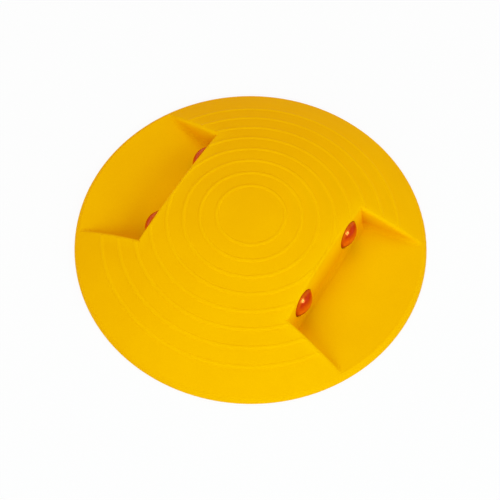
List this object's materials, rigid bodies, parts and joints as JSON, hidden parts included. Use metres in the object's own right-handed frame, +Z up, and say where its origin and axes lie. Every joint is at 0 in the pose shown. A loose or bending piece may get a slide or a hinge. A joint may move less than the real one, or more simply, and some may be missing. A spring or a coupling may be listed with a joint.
{
  "type": "road stud",
  "caption": "Low round plastic road stud with raised rings and round amber lens reflectors in two opposite recesses, seen by traffic from both ways.",
  "frame": {"origin": "centre of the flat base, on the road's surface", "axes": "+Z up from the road; +X out of the front recess, along the traffic; +Y along the back walls, to the left of the front recess"},
  "size_m": [0.2, 0.2, 0.03],
  "materials": {
    "body_plastic": "satin, moulded through in yellow",
    "lens_amber": "polished, clear amber",
    "seal_rubber": "matt black",
    "mirror_silver": "bright pressed bowl",
    "retainer_plastic": "matt black, moulded",
    "insert_brass": "turned"
  },
  "bodies": {
    "root": {"body_shell": "body_plastic", "anchor_insert": "insert_brass", "front_left_lens": "lens_amber", "front_left_seal": "seal_rubber", "front_left_mirror": "mirror_silver", "front_left_retainer": "retainer_plastic", "front_right_lens": "lens_amber", "front_right_seal": "seal_rubber", "front_right_mirror": "mirror_silver", "front_right_retainer": "retainer_plastic", "rear_left_lens": "lens_amber", "rear_left_seal": "seal_rubber", "rear_left_mirror": "mirror_silver", "rear_left_retainer": "retainer_plastic", "rear_right_lens": "lens_amber", "rear_right_seal": "seal_rubber", "rear_right_mirror": "mirror_silver", "rear_right_retainer": "retainer_plastic"}
  },
  "joints": []
}
